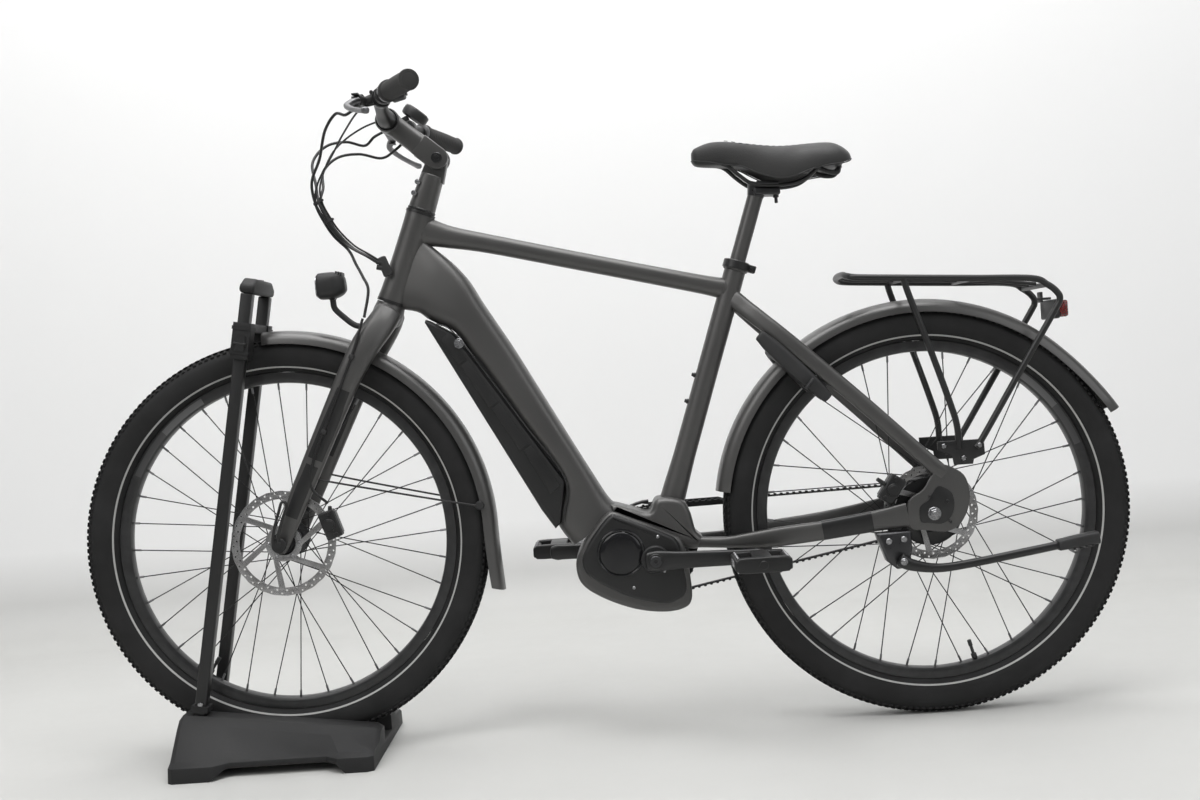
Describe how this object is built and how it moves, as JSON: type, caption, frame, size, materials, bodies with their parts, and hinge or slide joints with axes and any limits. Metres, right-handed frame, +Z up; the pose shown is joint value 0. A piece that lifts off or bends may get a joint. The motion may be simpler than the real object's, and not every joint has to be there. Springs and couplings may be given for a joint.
{
  "type": "bicycle on stand",
  "caption": "Step-over trekking e-bike with belt drive, disc brakes, mudguards and rear rack, its front wheel held upright in a floor stand with two square posts.",
  "frame": {"origin": "on the floor under the middle of the object's length and width", "axes": "+X to the bicycle's rear, +Y to its right-hand belt side, +Z up"},
  "size_m": [1.803, 0.6314, 1.1197],
  "materials": {
    "frame_grey": "satin metallic grey paint",
    "black_paint": "satin black",
    "black_plastic": "moulded black plastic",
    "rubber": "tyre rubber",
    "grip_rubber": "soft dark rubber",
    "steel": "brushed",
    "alloy": "satin",
    "red_lens": "red lens and black housing",
    "saddle_cover": "matte black synthetic leather"
  },
  "bodies": {
    "stand": {"stand_base": "black_plastic", "stand_post_left": "black_paint", "stand_post_right": "black_paint", "stand_top_cap": "black_plastic"},
    "wheel_rest": {"wheel_rest": "black_plastic"},
    "frame": {"head_tube": "frame_grey", "top_tube": "frame_grey", "down_tube": "frame_grey", "seat_tube": "frame_grey", "chain_stay_left": "frame_grey", "chain_stay_right": "frame_grey", "seat_stay_left": "frame_grey", "seat_stay_right": "frame_grey", "motor_unit": "black_plastic", "motor_cover": "black_plastic", "rear_rack": "black_paint", "rear_light": "red_lens", "rear_mudguard": "frame_grey", "frame_lock": "black_plastic", "kickstand_mount": "black_plastic", "belt": "rubber", "belt_guard": "black_plastic", "rear_caliper": "black_paint", "rear_axle": "steel"},
    "battery": {"battery": "black_plastic"},
    "seat": {"seat_post": "frame_grey", "saddle": "saddle_cover"},
    "kickstand": {"kickstand_leg": "black_paint"},
    "cranks": {"crank_left": "black_paint", "crank_right": "black_paint", "front_sprocket": "black_paint"},
    "pedal_left": {"pedal_left": "black_plastic"},
    "pedal_right": {"pedal_right": "black_plastic"},
    "rear_sprocket": {"rear_sprocket": "black_paint"},
    "rear_wheel": {"rear_tyre": "rubber", "rear_rim": "black_paint", "rear_hub": "alloy", "rear_rotor": "steel"},
    "steering": {"fork": "frame_grey", "front_caliper": "black_paint", "front_mudguard": "frame_grey", "headlight": "black_plastic", "stem_base": "frame_grey", "hose_front_brake": "black_plastic", "hose_rear_brake": "black_plastic", "cable_shift": "black_plastic"},
    "front_wheel": {"front_tyre": "rubber", "front_rim": "black_paint", "front_hub": "alloy", "front_rotor": "steel"},
    "front_axle": {"front_axle": "black_paint"},
    "bars": {"stem_arm": "frame_grey", "handlebar": "black_paint", "grip_left": "grip_rubber", "grip_right": "grip_rubber", "brake_body_left": "black_paint", "brake_body_right": "black_paint", "display": "black_plastic"},
    "brake_lever_left": {"brake_lever_left": "alloy"},
    "brake_lever_right": {"brake_lever_right": "alloy"}
  },
  "joints": [
    {"name": "roll_out", "type": "slide", "parent": "stand", "child": "frame", "axis": [1, 0, 0], "range_m": [0, 0.6]},
    {"name": "wheel_rest_slide", "type": "slide", "parent": "stand", "child": "wheel_rest", "axis": [0.184, 0, 0.9829], "range_m": [0, 0.04]},
    {"name": "steering_turn", "type": "hinge", "parent": "frame", "child": "steering", "pos_m": [-0.3145, 0, 0.8445], "axis": [0.3746, 0, 0.9272], "range_deg": [-1.5, 1.5]},
    {"name": "stem_tilt", "type": "hinge", "parent": "steering", "child": "bars", "pos_m": [-0.248, 0, 1.01], "axis": [0, 1, 0], "range_deg": [-12, 15]},
    {"name": "brake_pull_left", "type": "hinge", "parent": "bars", "child": "brake_lever_left", "pos_m": [-0.351, -0.183, 1.0825], "axis": [-0.4777, -0.421, 0.7711], "range_deg": [0, 16], "stiffness_Nm_per_rad": 0.8, "springref_deg": -8.59},
    {"name": "brake_pull_right", "type": "hinge", "parent": "bars", "child": "brake_lever_right", "pos_m": [-0.351, 0.183, 1.0825], "axis": [0.4777, -0.421, -0.7711], "range_deg": [0, 16], "stiffness_Nm_per_rad": 0.8, "springref_deg": -8.59},
    {"name": "front_wheel_spin", "type": "hinge", "parent": "steering", "child": "front_wheel", "pos_m": [-0.5515, 0, 0.37], "axis": [0, 1, 0], "continuous": true},
    {"name": "front_axle_turn", "type": "hinge", "parent": "steering", "child": "front_axle", "pos_m": [-0.5515, 0, 0.37], "axis": [0, 1, 0], "range_deg": [-170, 0]},
    {"name": "rear_wheel_spin", "type": "hinge", "parent": "frame", "child": "rear_wheel", "pos_m": [0.5515, 0, 0.35], "axis": [0, 1, 0], "continuous": true},
    {"name": "crank_spin", "type": "hinge", "parent": "frame", "child": "cranks", "pos_m": [0.079, 0, 0.303], "axis": [0, 1, 0], "continuous": true},
    {"name": "rear_sprocket_spin", "type": "hinge", "parent": "frame", "child": "rear_sprocket", "pos_m": [0.5515, 0, 0.35], "axis": [0, 1, 0], "continuous": true},
    {"name": "pedal_left_spin", "type": "hinge", "parent": "cranks", "child": "pedal_left", "pos_m": [0.249, -0.084, 0.3], "axis": [0, 1, 0], "continuous": true},
    {"name": "pedal_right_spin", "type": "hinge", "parent": "cranks", "child": "pedal_right", "pos_m": [-0.091, 0.084, 0.306], "axis": [0, 1, 0], "continuous": true},
    {"name": "seat_post_slide", "type": "slide", "parent": "frame", "child": "seat", "axis": [0.3272, 0, 0.9449], "range_m": [-0.09, 0.05]},
    {"name": "kickstand_swing", "type": "hinge", "parent": "frame", "child": "kickstand", "pos_m": [0.49, -0.095, 0.277], "axis": [0, 1, 0], "range_deg": [0, 57]},
    {"name": "battery_swing", "type": "hinge", "parent": "frame", "child": "battery", "pos_m": [-0.083, 0, 0.374], "axis": [0, 1, 0], "range_deg": [-4, 0]}
  ],
  "couplings": [
    {"joint": "rear_sprocket_spin", "follows": "crank_spin", "ratio": 1.9167}
  ]
}
